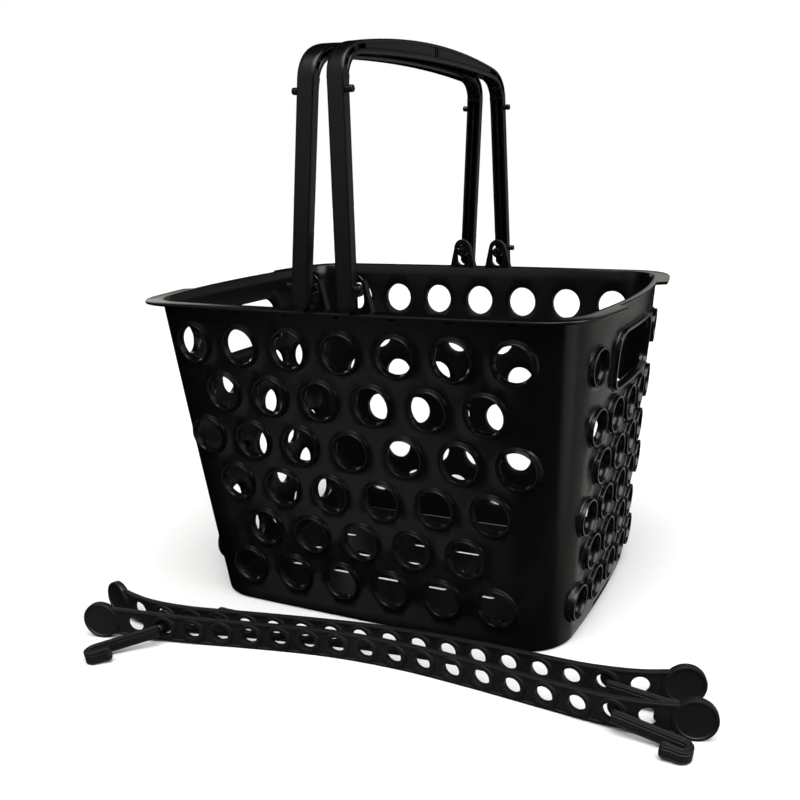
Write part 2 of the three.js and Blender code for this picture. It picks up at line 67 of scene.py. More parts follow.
class Shape:
    """Points in millimetres and faces, gathered piece by piece."""

    def __init__(self):
        self.points = []
        self.faces = []

    def add(self, points):
        start = len(self.points)
        self.points.extend([tuple(float(c) for c in p) for p in points])
        return list(range(start, len(self.points)))

    def bridge(self, a, b, closed=True):
        n = len(a)
        for i in range(n if closed else n - 1):
            j = (i + 1) % n
            self.faces.append((a[i], a[j], b[j], b[i]))

    def skin(self, loops, closed=True, joined=False):
        """Quads between loops of points; joined also closes the last loop to the first."""
        ids = [self.add(loop) for loop in loops]
        for a, b in zip(ids, ids[1:] + (ids[:1] if joined else [])):
            self.bridge(a, b, closed)
        return ids

    def absorb(self, other, place=None):
        start = len(self.points)
        self.points.extend(other.points if place is None else [place(p) for p in other.points])
        self.faces.extend(tuple(i + start for i in f) for f in other.faces)

    def build(self, name, body, material, sharp=32.0, weld=0.002, replaces=None):
        mesh = bpy.data.meshes.new(name)
        mesh.from_pydata([(x / 1000, y / 1000, z / 1000) for x, y, z in self.points], [], self.faces)
        bm = bmesh.new()
        bm.from_mesh(mesh)
        bmesh.ops.remove_doubles(bm, verts=bm.verts, dist=weld / 1000)
        bmesh.ops.dissolve_degenerate(bm, edges=bm.edges, dist=1e-7)
        bmesh.ops.recalc_face_normals(bm, faces=bm.faces)
        bm.to_mesh(mesh)
        bm.free()
        mesh.shade_smooth()
        mesh.set_sharp_from_angle(angle=math.radians(sharp))
        thing = bpy.data.objects.new(name, mesh)
        bpy.context.scene.collection.objects.link(thing)
        mesh.materials.append(material)
        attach(thing, body)
        if replaces:
            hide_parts(replaces)
        return thing


def circle(count, phase=0.0):
    t = np.arange(count) * (2 * math.pi / count) + phase
    return np.stack([np.cos(t), np.sin(t)], axis=1)


# ---------- the wall's surface ----------


def arcs(z, out=0.0, corner=None):
    """Centres and radii of the outline's arcs at height z, moved out by a margin."""
    down = RIM_Z - z
    bow = 1 - (1 - BOW_AT_BOTTOM) * down / RIM_Z
    long_r = LONG_CHORD ** 2 / (2 * LONG_SAG * bow)
    short_r = SHORT_CHORD ** 2 / (2 * SHORT_SAG * bow)
    long_c = HALF_Y - down * TAPER + LONG_SAG * bow - long_r
    short_c = HALF_X - down * TAPER + SHORT_SAG * bow - short_r
    long_r, short_r = long_r + out, short_r + out
    if corner is None:
        corner = CORNER_TOP + (CORNER_BOTTOM - CORNER_TOP) * (1 - z / RIM_Z) + out
    to_short, to_long, apart = short_r - corner, long_r - corner, math.hypot(short_c, long_c)
    along = (to_short ** 2 - to_long ** 2 + apart ** 2) / (2 * apart)
    aside = math.sqrt(to_short ** 2 - along ** 2)
    ux, uy = -short_c / apart, long_c / apart
    cx, cy = short_c + along * ux - aside * uy, along * uy + aside * ux
    if cx < 0 or cy < 0:
        cx, cy = short_c + along * ux + aside * uy, along * uy - aside * ux
    low = math.atan2(cy, cx - short_c)
    high = math.atan2(cy - long_c, cx)
    return long_c, long_r, short_c, short_r, cx, cy, corner, low, high


LAP = math.radians(28)      # how far the flat patches reach round each corner


def far_y(x, z, out=0.0, corner=None):
    long_c, long_r, _, _, cx, cy, r, _, high = arcs(z, out, corner)
    x = abs(x)
    if x <= long_r * math.cos(high):
        return long_c + math.sqrt(long_r ** 2 - x * x)
    return cy + math.sqrt(max(r * r - (x - cx) ** 2, 0))


def right_x(y, z, out=0.0, corner=None):
    _, _, short_c, short_r, cx, cy, r, low, _ = arcs(z, out, corner)
    y = abs(y)
    if y <= short_r * math.sin(low):
        return short_c + math.sqrt(short_r ** 2 - y * y)
    return cx + math.sqrt(max(r * r - (y - cy) ** 2, 0))


def far_half(z, out=0.0, corner=None):
    _, _, _, _, cx, _, r, _, high = arcs(z, out, corner)
    return cx + r * math.cos(high - LAP)


def right_half(z, out=0.0, corner=None):
    _, _, _, _, _, cy, r, low, _ = arcs(z, out, corner)
    return cy + r * math.sin(low + LAP)


def on_far(x, z, out=0.0):
    return (x, far_y(x, z, out), z)


def on_right(y, z, out=0.0):
    return (right_x(y, z, out), y, z)


# Shares of a patch's half width where the outline has points, and shares of a corner's turn.
TOP_RIGHT_HALF = right_half(RIM_Z)
_notch = [(LIP_HALF - 0.25) / TOP_RIGHT_HALF, (LIP_HALF + 0.25) / TOP_RIGHT_HALF]
_half = sorted([i / 18 for i in range(1, 19) if abs(i / 18 - _notch[0]) > 0.015] + _notch)
RIGHT_STEPS = [-t for t in reversed(_half)] + [0.0] + _half
FAR_STEPS = [i / 20 for i in range(-20, 21)]
TURN_STEPS = [i / 7 for i in range(1, 7)]


def corner_points(z, out, corner, mirrored):
    """Points round the far right corner from the right patch to the far one, or mirrored in X."""
    _, _, _, _, cx, cy, r, low, high = arcs(z, out, corner)
    a, b = low + LAP, high - LAP
    turn = [a + (b - a) * t for t in TURN_STEPS]
    pts = [(cx + r * math.cos(t), cy + r * math.sin(t), z) for t in turn]
    return [(-x, y, z) for x, y, z in reversed(pts)] if mirrored else pts


def half_ring(z, out=0.0, corner=None):
    """The outline over the right and far sides, from the near right corner to the far left one."""
    right = right_half(z, out, corner)
    far = far_half(z, out, corner)
    pts = [(right_x(t * right, z, out, corner), t * right, z) for t in RIGHT_STEPS]
    pts += corner_points(z, out, corner, False)
    pts += [(-t * far, far_y(t * far, z, out, corner), z) for t in FAR_STEPS]
    pts += corner_points(z, out, corner, True)
    return pts


def ring(z, out=0.0, corner=None):
    pts = half_ring(z, out, corner)
    return np.array(pts + [(-x, -y, z) for x, y, z in pts])


# ---------- holes ----------


def wall_spot(side, u, s):
    """Centre and outward normal on the outside of the far or right wall, u along and s down it."""
    z = RIM_Z - s * math.cos(math.atan(TAPER))
    long_c, long_r, short_c, short_r, *_ = arcs(z)
    if side == "far":
        point = np.array([u, long_c + math.sqrt(long_r ** 2 - u * u), z])
        normal = np.array([u / long_r, math.sqrt(long_r ** 2 - u * u) / long_r, -TAPER])
    else:
        point = np.array([short_c + math.sqrt(short_r ** 2 - u * u), u, z])
        normal = np.array([math.sqrt(short_r ** 2 - u * u) / short_r, u / short_r, -TAPER])
    return point, normal / np.linalg.norm(normal)


LONG_BORE, LONG_COLLAR, LONG_RISE = 12.55, 14.75, 1.0       # radii of hole and collar, share of height
SHORT_BORE, SHORT_COLLAR, SHORT_RISE = 11.5, 13.8, 1.25
SLOT_COLLAR, SLOT_RISE = 3.0, 1.1
COLLAR_TOP = 3.1
# Loops over a collar: how far each stands beyond the collar's size, and how high above the wall.
COLLAR = [
    (0.55, 0.08), (0.30, 0.25), (0.22, 0.6), (0.10, 0.85), (-0.15, 0.95), (-0.45, 0.98), (-0.62, 1.1),
    (-0.70, 2.65), (-0.76, 2.95), (-0.95, COLLAR_TOP),
]


class Hole:
    """A collared opening: loops of points over its collar and through its bore."""

    def __init__(self, side, loop, outer_size, bore_size, height=1.0):
        self.side = side
        self.loop = loop                # loop(margin beyond the bore, height, surface) -> points
        lead = outer_size - bore_size
        heights = [(lead + m, d * height) for m, d in COLLAR]
        top = COLLAR_TOP * height
        self.profile = [(lead + 0.95, 0.0, "outer")] + [(m, d, None) for m, d in heights]
        self.profile += [(0.42, top, None), (0.12, top - 0.12, None), (0.0, top - 0.42, None)]
        self.profile += [(-0.3, 0.0, None), (-0.45, -WALL + 0.55, None), (-0.3, -WALL + 0.16, None)]
        self.profile += [(0.1, -WALL, "inner")]

    def rings(self):
        return [self.loop(m, d, surface) for m, d, surface in self.profile]


def onto(side, points, out):
    """The same points moved along the wall's own normal direction onto its surface."""
    made = []
    for x, y, z in points:
        made.append(on_far(x, z, out) if side == "far" else on_right(y, z, out))
    return np.array(made)


def round_hole(side, u, s, bore, outer, height):
    centre, normal = wall_spot(side, u, s)
    across = np.cross(normal, [0, 0, 1.0])
    across /= np.linalg.norm(across)
    up = np.cross(across, normal)
    unit = circle(44)

    def loop(margin, height, surface):
        pts = centre + (bore + margin) * (unit[:, :1] * across + unit[:, 1:] * up) + normal * height
        return onto(side, pts, 0.0 if surface == "outer" else -WALL) if surface else pts

    return Hole(side, loop, outer, bore, height)


def rounded_slot(half, low, high, r_top, r_low, per_corner=9):
    """Points of a slot's outline, counterclockwise, with softly rounded corners."""
    def corner(px, pz, qx, qz, rx, rz):
        t = np.linspace(0, 1, per_corner)[:, None]
        p, q, r = np.array([px, pz]), np.array([qx, qz]), np.array([rx, rz])
        return (1 - t) ** 2 * p + 2 * t * (1 - t) * q + t ** 2 * r

    pts = [
        corner(half - r_low, low, half, low, half, low + r_low),
        corner(half, high - r_top, half, high, half - r_top, high),
        corner(-half + r_top, high, -half, high, -half, high - r_top),
        corner(-half, low + r_low, -half, low, -half + r_low, low),
    ]
    rows = []
    for i, arc in enumerate(pts):
        rows.extend(arc)
        start, end = arc[-1], pts[(i + 1) % 4][0]
        rows.extend(start + (end - start) * k / 6 for k in range(1, 6))
    return np.array(rows)


def hand_slot():
    """The grip opening in the right wall with its collar."""
    def loop(margin, height, surface):
        low, high = RIM_Z - SLOT_BOTTOM - margin, RIM_Z - SLOT_TOP + margin
        flat = rounded_slot(SLOT_HALF_Y + margin, low, high, SLOT_R_TOP + margin, SLOT_R_LOW + margin)
        base = np.array([on_right(y, z, 0.0) for y, z in flat])
        if surface:
            return np.array([on_right(y, z, 0.0 if surface == "outer" else -WALL) for y, z in flat])
        return base + height * np.array([1.0, 0, -TAPER])

    return Hole("right", loop, SLOT_COLLAR, 0.0, SLOT_RISE)


def plain_slot():
    """The narrow slot in the foot of the right wall, with no collar."""
    def loop(margin, height, surface):
        flat = rounded_slot(23 + margin, 3.25 - margin, 5.7 + margin, 1.2, 1.2, 4)
        return np.array([on_right(y, z, 0.0 if surface == "outer" else -WALL) for y, z in flat])

    made = Hole("right", loop, 23, 23)
    made.profile = [(0.25, 0, "outer"), (0.0, 0, "inner")]
    return made


def wall_holes():
    holes = []
    for row, count in enumerate(LONG_COUNTS):
        for i in range(count):
            u = (i - (count - 1) / 2) * LONG_PITCH
            s = LONG_FIRST + row * LONG_ROW
            holes.append(round_hole("far", u, s, LONG_BORE, LONG_COLLAR, LONG_RISE))
    for row, count in enumerate(SHORT_COUNTS):
        for i in range(count):
            u = (i - (count - 1) / 2) * SHORT_PITCH
            s = SHORT_FIRST + row * SHORT_ROW
            holes.append(round_hole("right", u, s, SHORT_BORE, SHORT_COLLAR, SHORT_RISE))
    for u in (-END_ALONG, END_ALONG):
        holes.append(round_hole("right", u, END_DOWN, SHORT_BORE, SHORT_COLLAR, SHORT_RISE))
    return holes + [hand_slot(), plain_slot()]


# ---------- walls ----------


def inside(points, outline):
    """Which of the points are inside a closed outline."""
    x, y = points[:, 0][:, None], points[:, 1][:, None]
    ax, ay = outline[:, 0][None], outline[:, 1][None]
    bx, by = np.roll(ax, -1, axis=1), np.roll(ay, -1, axis=1)
    crosses = (ay > y) != (by > y)
    with np.errstate(divide="ignore", invalid="ignore"):
        at = (bx - ax) * (y - ay) / (by - ay) + ax
    return (np.sum(crosses & (x < at), axis=1) % 2) == 1


def distance_to(points, outline):
    best = np.full(len(points), 1e9)
    a, b = outline, np.roll(outline, -1, axis=0)
    for p, q in zip(a, b):
        d = q - p
        t = np.clip(((points - p) @ d) / max(d @ d, 1e-12), 0, 1)
        best = np.minimum(best, np.linalg.norm(points - (p + t[:, None] * d), axis=1))
    return best


def sheet(shape, boundary, loops, flat_of, place, spacing, clear):
    """Triangles over a boundary with holes. Points are 3-D; flat_of gives their place in the plane."""
    rim = flat_of(boundary)
    flats = [flat_of(loop) for loop in loops]
    lo, hi = rim.min(axis=0), rim.max(axis=0)
    grid = []
    rows = max(int((hi[1] - lo[1]) / (spacing * 0.87)), 1)
    for j in range(1, rows):
        v = lo[1] + (hi[1] - lo[1]) * j / rows
        shift = spacing / 2 if j % 2 else 0.0
        u = -math.ceil((hi[0] - lo[0]) / spacing) * spacing + shift
        while u < hi[0]:
            if u > lo[0]:
                grid.append((u, v))
            u += spacing
    grid = np.array(grid) if grid else np.zeros((0, 2))
    if len(grid):
        keep = inside(grid, rim) & (distance_to(grid, rim) > clear)
        grid = grid[keep]
        for flat in flats:
            near = ~inside(grid, flat)
            grid = grid[near]
            grid = grid[distance_to(grid, flat) > clear]
    solid = [np.array(boundary)] + [np.array(loop) for loop in loops]
    exact = np.concatenate(solid)
    free = np.array([place(u, v) for u, v in grid]) if len(grid) else np.zeros((0, 3))
    flat_all = np.concatenate([rim] + flats + ([grid] if len(grid) else []))
    points = np.concatenate([exact, free]) if len(free) else exact
    edges, start = [], 0
    for ring_ in [rim] + flats:
        n = len(ring_)
        edges += [(start + i, start + (i + 1) % n) for i in range(n)]
        start += n
    _, _, faces, origin, _, _ = delaunay_2d_cdt([Vector(p) for p in flat_all], edges, [], 0, 1e-6)[:6]
    ids = shape.add(points)
    tris = np.array([[origin[i][0] for i in f] for f in faces])
    middle = flat_all[tris].mean(axis=1)
    keep = inside(middle, rim)
    for flat in flats:
        keep &= ~inside(middle, flat)
    for a, b, c in tris[keep]:
        shape.faces.append((ids[a], ids[b], ids[c]))


def wall_patch(shape, side, out, rows, loops):
    """One wall's outer or inner skin between the given heights, with the holes' loops cut out."""
    if side == "far":
        half, spot, steps = far_half, on_far, FAR_STEPS
    else:
        half, spot, steps = right_half, on_right, RIGHT_STEPS
    bottom = [spot(t * half(rows[0], out), rows[0], out) for t in steps]
    top = [spot(t * half(rows[-1], out), rows[-1], out) for t in reversed(steps)]
    up = [spot(half(z, out), z, out) for z in rows[1:-1]]
    down = [spot(-half(z, out), z, out) for z in reversed(rows[1:-1])]
    axis = 0 if side == "far" else 1

    def flat_of(points):
        return np.array(points)[:, [axis, 2]]

    sheet(shape, bottom + up + top + down, loops, flat_of, lambda u, v: spot(u, v, out), 8.0, 2.2)


def corner_patch(shape, out, rows, mirrored):
    columns = []
    for z in rows:
        right = (right_x(right_half(z, out), z, out), right_half(z, out), z)
        far = (far_half(z, out), far_y(far_half(z, out), z, out), z)
        middle = corner_points(z, out, None, False)
        pts = [right] + middle + [far]
        columns.append([(-x, y, z) for x, y, z in pts] if mirrored else pts)
    shape.skin(columns, closed=False)


def flange_ring(a, b, dz):
    """One loop round the rim: a mm out from the wall plus b times the flange's own width there."""
    wall, edge = ring(RIM_Z), ring(RIM_Z, FLANGE_W, FLANGE_CORNER)
    inner = ring(RIM_Z, -WALL)
    width = np.full(len(wall), FLANGE_W)
    width[(np.abs(wall[:, 1]) < LIP_HALF) & (np.abs(wall[:, 0]) > HALF_X - 20)] = LIP_W
    out = a + b * width
    pts = np.where(out[:, None] >= 0, wall + (edge - wall) * (out / FLANGE_W)[:, None],
                   wall + (inner - wall) * (-out / WALL)[:, None])
    pts[:, 2] = RIM_Z + dz
    return pts


OUTER_LOW, OUTER_HIGH = 2.6, RIM_Z - FLANGE_T - 1.0
INNER_LOW, INNER_HIGH = FLOOR + 0.35, RIM_Z - 0.7


def basket_shell(material):
    shape = Shape()
    half = Shape()
    holes = wall_holes()
    outer_rows = list(np.linspace(OUTER_LOW, OUTER_HIGH, 26))
    inner_rows = list(np.linspace(INNER_LOW, INNER_HIGH, 26))
    made = [(hole.side, hole.rings()) for hole in holes]
    for side in ("far", "right"):
        wall_patch(half, side, 0.0, outer_rows, [r[0] for s, r in made if s == side])
        wall_patch(half, side, -WALL, inner_rows, [r[-1] for s, r in made if s == side])
    for mirrored in (False, True):
        corner_patch(half, 0.0, outer_rows, mirrored)
        corner_patch(half, -WALL, inner_rows, mirrored)
    for _, rings in made:
        half.skin(rings)
    shape.absorb(half)
    shape.absorb(half, lambda p: (-p[0], -p[1], p[2]))

    t = FLANGE_T
    profile = [(0.25, 0, -t - 0.4), (0.7, 0, -t - 0.08), (1.2, 0, -t), (-0.75, 1, -t), (-0.25, 1, -t + 0.25),
               (0, 1, -t + 0.75), (0, 1, -0.75), (-0.25, 1, -0.25), (-0.75, 1, 0), (0.6, 0, 0),
               (-WALL + 0.7, 0, 0), (-WALL + 0.22, 0, -0.2)]
    loops = [ring(OUTER_HIGH)] + [flange_ring(a, b, dz) for a, b, dz in profile] + [ring(INNER_HIGH, -WALL)]
    shape.skin(loops)

    under = [ring(OUTER_LOW)]
    for k in range(1, 6):
        turn = math.pi / 2 * k / 5
        under.append(ring(OUTER_LOW * (1 - math.sin(turn)), -OUTER_LOW * (1 - math.cos(turn))))
    shape.skin(under)
    foot = ring(INNER_LOW, -WALL)
    sill = ring(FLOOR, -WALL - 0.35)
    shape.skin([foot, sill])
    slots = []
    for i in range(DRAIN_COLS):
        for j in range(DRAIN_ROWS):
            x = (i - (DRAIN_COLS - 1) / 2) * DRAIN_PITCH[0]
            y = (j - (DRAIN_ROWS - 1) / 2) * DRAIN_PITCH[1]
            end = circle(24, -math.pi / 2)
            end[:, 0] += np.where(np.arange(24) <= 12, DRAIN_STRAIGHT, -DRAIN_STRAIGHT) / DRAIN_R
            slots.append(end * DRAIN_R + (x, y))
    for z, edge in ((0.0, under[-1]), (FLOOR, sill)):
        loops = [np.column_stack([s, np.full(len(s), z)]) for s in slots]
        sheet(shape, edge, loops, lambda p: np.array(p)[:, :2], lambda u, v: (u, v, z), 14.0, 3.0)
    for s in slots:
        shape.skin([np.column_stack([s, np.full(len(s), z)]) for z in (0.0, FLOOR)])
    return shape.build("basket_shell", "basket", material, replaces="basket_body")


# ---------- ears and gussets ----------

EAR_HALF, EAR_TOP_R, EAR_HEIGHT, EAR_RIB, EAR_RIB_W = 12.0, 7.6, 24.0, 2.4, 2.0
SLOT_HALF, SLOT_LOW, SLOT_HIGH = 4.95, 1.7, 19.5
EAR_CENTRE = (SLOT_LOW + SLOT_HIGH) / 2


def ear_outline(inset):
    """An ear's outline in X and height above the rim: straight foot, two slopes, round top."""
    half, r, centre, low = EAR_HALF - inset, EAR_TOP_R - inset, EAR_HEIGHT - EAR_TOP_R, -1.0
    lean = math.atan2(half - r, centre - low)
    top = [(r * math.cos(a), centre + r * math.sin(a)) for a in np.linspace(lean, math.pi - lean, 25)]
    foot = [(x, low) for x in np.linspace(-half, half, 13)]
    up = np.linspace(0, 1, 11)[1:-1]
    right = [(half + (top[0][0] - half) * t, low + (top[0][1] - low) * t) for t in up]
    left = [(-x, z) for x, z in reversed(right)]
    return np.array(foot + right + top + left)


def slot_outline(grown):
    """The slot's outline at the same directions from its centre as the ear's outline."""
    half, reach = SLOT_HALF + grown, (SLOT_HIGH - SLOT_LOW) / 2 - SLOT_HALF
    pts = []
    for x, z in ear_outline(0.0):
        d = np.array([x, z - EAR_CENTRE])
        d /= np.linalg.norm(d)
        t = half / abs(d[0]) if abs(d[0]) > 1e-9 else 1e9
        if abs(t * d[1]) > reach:
            c = math.copysign(reach, d[1])
            t = d[1] * c + math.sqrt((d[1] * c) ** 2 - c * c + half * half)
        pts.append((t * d[0], EAR_CENTRE + t * d[1]))
    return np.array(pts)


def ears_and_gussets(material):
    shape = Shape()
    face = far_y(PIVOT_X, RIM_Z)
    back, front, proud = face - WALL, face, face + EAR_RIB
    plan = [
        (slot_outline(0.3), back), (slot_outline(0), back + 0.3),
        (slot_outline(0), front - 0.3), (slot_outline(0.3), front),
        (ear_outline(EAR_RIB_W + 0.35), front), (ear_outline(EAR_RIB_W), front + 0.35),
        (ear_outline(EAR_RIB_W), proud - 0.3), (ear_outline(EAR_RIB_W - 0.3), proud),
        (ear_outline(0.35), proud), (ear_outline(0), proud - 0.35),
        (ear_outline(0), back + 0.3), (ear_outline(0.3), back),
    ]
    for x in (PIVOT_X, -PIVOT_X):
        loops = []
        for flat, y in plan:
            loops.append(np.column_stack([x + flat[:, 0], np.full(len(flat), y), RIM_Z + flat[:, 1]]))
        one = Shape()
        one.skin(loops, joined=True)
        shape.absorb(one)
        shape.absorb(one, lambda p: (-p[0], -p[1], p[2]))
    for i in range(-3, 4):
        x = i * LONG_PITCH
        wall = far_y(x, RIM_Z)
        one = Shape()
        rows = []
        for offset, inset in ((-GUSSET_HALF, 0.25), (-0.65, 0.0), (0.65, 0.0), (GUSSET_HALF, 0.25)):
            reach = GUSSET_REACH - 1.5 * inset
            low = -FLANGE_T - GUSSET_DROP + 1.5 * inset
            outer = [(-1.2, -1.0), (reach, -1.0), (reach, -FLANGE_T - 0.2), (-0.6, low), (-1.2, low)]
            rows.append(one.add([(x + offset, wall + y, RIM_Z + z) for y, z in outer]))
        for a, b in zip(rows, rows[1:]):
            one.bridge(a, b)
        one.faces += [tuple(reversed(rows[0])), tuple(rows[-1])]
        shape.absorb(one)
        shape.absorb(one, lambda p: (-p[0], -p[1], p[2]))
    return shape.build("ears_and_gussets", "basket", material)


# ---------- handles ----------

BAR = 5.85                       # half the bail's width
LEAN_IN = math.tan(math.radians(2.3))
OUTER_Y, INNER_Y, FOOT = 137.5, 130.5, 12.8
CROWN, CROWN_DROP, CROWN_END, CORNER_LOW = 157.0, 7.1, 105.0, 127.0
UNDER, UNDER_DROP, UNDER_END, UNDER_LOW = 145.0, 3.8, 104.0, 120.0
EDGE_STRIP, GRIP = 2.0, 3.6
FOOT_CUT = 4.0                   # how far the foot's round corners rise
PANEL, POCKET = 0.9, 4.0         # how deep the crown's panels and the corners' pockets are sunk
PEG_LOW, PEG_HIGH = 2.9, 120.2   # heights of the pegs above the pivot


def quadratic(a, b, c, t):
    return tuple((1 - t) ** 2 * p + 2 * t * (1 - t) * q + t * t * r for p, q, r in zip(a, b, c))


def bail_pair(zone, t):
    """Matching points on the bail's outside and inside, in Y and height above the pivot."""
    def outer_at(z):
        return OUTER_Y - z * LEAN_IN

    def inner_at(z):
        return INNER_Y - z * LEAN_IN

    end, low = CROWN - CROWN_DROP, UNDER - UNDER_DROP
    if zone == "leg":
        return (outer_at(t), t), (inner_at(t), t)
    if zone == "corner":
        bend = end - 2 * CROWN_DROP * (outer_at(end) / CROWN_END - 1)
        outside = quadratic((outer_at(CORNER_LOW), CORNER_LOW), (outer_at(bend), bend), (CROWN_END, end), t)
        start = (inner_at(UNDER_LOW), UNDER_LOW)
        return outside, quadratic(start, (inner_at(low), low - 0.5), (UNDER_END, low), t)
    outside = quadratic((CROWN_END, end), (0, CROWN + CROWN_DROP), (-CROWN_END, end), t)
    return outside, quadratic((UNDER_END, low), (0, UNDER + UNDER_DROP), (-UNDER_END, low), t)


def bar_half(kind, deep, sunk=0.9, line=0.55):
    """Half of the bar's section from its outside to its inside, as X and depth."""
    h = BAR
    start = [(0, 0), (3.0, 0), (h - 1.1, 0), (h - 0.5, 0.1), (h - 0.12, 0.42), (h, 0.95)]
    if kind == "crown":
        f, g = EDGE_STRIP, deep - GRIP
        panel, groove = h - sunk, h - sunk - line
        return start + [
            (h, f - 0.4), (h - 0.12, f - 0.12), (groove, f), (groove, f + 0.55), (panel, f + 0.7),
            (panel, g - 0.75), (groove, g - 0.6), (groove, g), (h - 0.5, g), (h - 0.12, g + 0.35),
            (h, g + 0.9), (h, deep - 1.6), (h - 0.45, deep - 0.6), (h - 1.5, deep), (2.5, deep), (0, deep),
        ]
    full = kind == "plain"
    wall, rib = h - 1.7, 0.85
    floor_at = deep if full else 2.0
    soft = 0.0 if full else 0.35
    low = deep if full else deep - 0.6
    return start + [
        (h, deep * 0.4), (h, deep - 0.6), (h - 0.15, deep - 0.18), (h - 0.5, deep), (wall + 0.3, deep),
        (wall + 0.02, deep - soft), (wall, floor_at + soft), (wall - 0.25, floor_at + 0.1 * (not full)),
        (wall - 0.5, floor_at), (rib + 0.5, floor_at), (rib + 0.2, floor_at + 0.1 * (not full)),
        (rib + 0.02, floor_at + soft), (rib, low - soft), (rib - 0.2, low), (rib - 0.5, low), (0, low)]


def bar_section(zone, t, kind, **sizes):
    (oy, oz), (iy, iz) = bail_pair(zone, t)
    deep = math.hypot(oy - iy, oz - iz)
    dy, dz = (iy - oy) / deep, (iz - oz) / deep
    half = bar_half(kind, deep, **sizes)
    whole = half + [(-x, w) for x, w in reversed(half[1:-1])]
    return np.array([(x, oy + dy * w, oz + dz * w) for x, w in whole])


def crown_stops():
    """Where the crown's section changes, as distances from its middle, with the depth of the recess."""
    panel_end = CROWN_END - 3
    stops = [(CROWN_END, POCKET), (panel_end, POCKET), (panel_end, PANEL)]
    stops += [(2.7, PANEL), (2.7, 3.4), (0.6, 3.4), (0.6, PANEL)]
    filled = [stops[0]]
    for (a, da), (b, db) in zip(stops, stops[1:]):
        pieces = max(int((a - b) / 4.0), 1)
        filled += [(a + (b - a) * k / pieces, da) for k in range(1, pieces)]
        filled.append((b, db))
    return filled + [(-y, d) for y, d in reversed(filled)]


def handle_bar():
    sections = []
    foot = bar_section("leg", 0.0, "plain")
    middle = np.array([0.0, OUTER_Y - 3.5, 0.0])
    for share, lower in ((0.1, 0.0), (0.4, 0.0), (0.7, 0.0), (0.9, 0.0), (0.97, 0.15), (1.0, 0.5)):
        pts = middle + (foot - middle) * share
        pts[:, 2] = FOOT_CUT * (np.abs(pts[:, 0]) / BAR) ** 2.5 - FOOT + lower
        pts[:, 1] -= pts[:, 2] * LEAN_IN
        sections.append(pts)
    sections.append(bar_section("leg", -8.0, "plain"))
    sections.append(bar_section("leg", -7.0, "plain"))
    for z in np.linspace(-7.0, 118.0, 14):
        sections.append(bar_section("leg", z, "channel"))
    for t in (0.03, 0.08, 0.13, 0.18):
        sections.append(bar_section("corner", t, "channel"))
    sections.append(bar_section("corner", 0.18, "plain"))
    sections.append(bar_section("corner", 0.21, "plain"))
    sections.append(bar_section("corner", 0.23, "crown", sunk=0.0, line=0.0))
    pockets = [(0.24, 0.0), (0.24, POCKET)]
    for start, end in ((0.44, 0.48), (0.74, 0.78)):
        pockets += [(start, POCKET), (start, PANEL), (end, PANEL), (end, POCKET)]
    pockets.append((0.97, POCKET))
    last = pockets[0]
    for t, sunk in pockets:
        gap = t - last[0]
        count = max(int(gap / 0.06), 1)
        for k in range(1, count):
            sections.append(bar_section("corner", last[0] + gap * k / count, "crown", sunk=last[1], line=0.0))
        sections.append(bar_section("corner", t, "crown", sunk=sunk, line=0.0))
        last = (t, sunk)
    half_count = len(sections)
    for y, sunk in crown_stops():
        line = 0.0 if sunk > 3 else 0.55
        sections.append(bar_section("crown", (1 - y / CROWN_END) / 2, "crown", sunk=sunk, line=line))
    for section in reversed(sections[:half_count]):
        flipped = section.copy()
        flipped[:, 1] *= -1
        sections.append(flipped)
    shape = Shape()
    ids = shape.skin(sections)
    shape.faces += [tuple(reversed(ids[0])), tuple(ids[-1])]
    return shape


def lathe(shape, profile, place, count=40):
    """Turns (radius, along) pairs about an axis; place takes two cross axes' parts and along."""
    unit = circle(count)
    loops = [[place(r * c, r * s, a) for c, s in unit] for r, a in profile]
    ids = shape.skin(loops)
    shape.faces += [tuple(reversed(ids[0])), tuple(ids[-1])]


def handle_piece(side, lean, name, body, node, material):
    shape = handle_bar()
    for end in (-1, 1):
        pin = [(1.6, 118.9), (1.9, 118.4), (3.6, 118.4), (4.05, 118.55), (4.2, 118.95)]
        pin += [(4.2, 132.1), (3.0, 132.7)]
        lathe(shape, pin, lambda a, b, y, end=end: (a, end * y, b))
        for z in (PEG_LOW, PEG_HIGH):
            y = (OUTER_Y + INNER_Y) / 2 - z * LEAN_IN
            peg = [(1.2, -1.0), (2.2, -0.9), (2.2, 4.1), (2.0, 4.45), (1.6, 4.6), (0.5, 4.6)]
            peg = [(r, BAR + stand) for r, stand in peg]
            lathe(shape, peg, lambda a, b, x, end=end, y=y, z=z: (side * x, end * y + a, z + b), 28)
    turn = -side * math.radians(lean)
    c, s = math.cos(turn), math.sin(turn)

    def stand(p):
        return (side * PIVOT_X + c * p[0] + s * p[2], p[1], PIVOT_Z - s * p[0] + c * p[2])

    placed = Shape()
    placed.absorb(shape, stand)
    return placed.build(name, body, material, sharp=28.0, replaces=node)


# ---------- straps ----------

STRAP_H, STRAP_T, DISC_R, SPAN = 9.75, 2.0, 13.25, 417.8   # half height, half thickness, disc, disc to disc
PITCH, STRAP_BORE, STRAP_HOLES = 21.4, 5.75, 18
FRONT_ROUTE = [(-171, -186), (-110, -172), (-60, -160), (-5, -149.7), (47, -146.3),
               (95, -148.2), (150, -152.8), (197, -157), (221, -155.5), (241, -150.5)]
REAR_ROUTE = [(-183.2, -156.1), (-171, -159.6), (-150, -162.5), (-121, -159.5), (-80, -150.5),
              (-30, -140.5), (25, -131.5), (80, -127.5), (130, -127.2), (178, -128.4), (206, -125.5),
              (231, -116.5)]
FIRST_HOLE = (SPAN - (STRAP_HOLES - 1) * PITCH) / 2
END_R = 11.9                     # where the band ends, round the middle of each disc


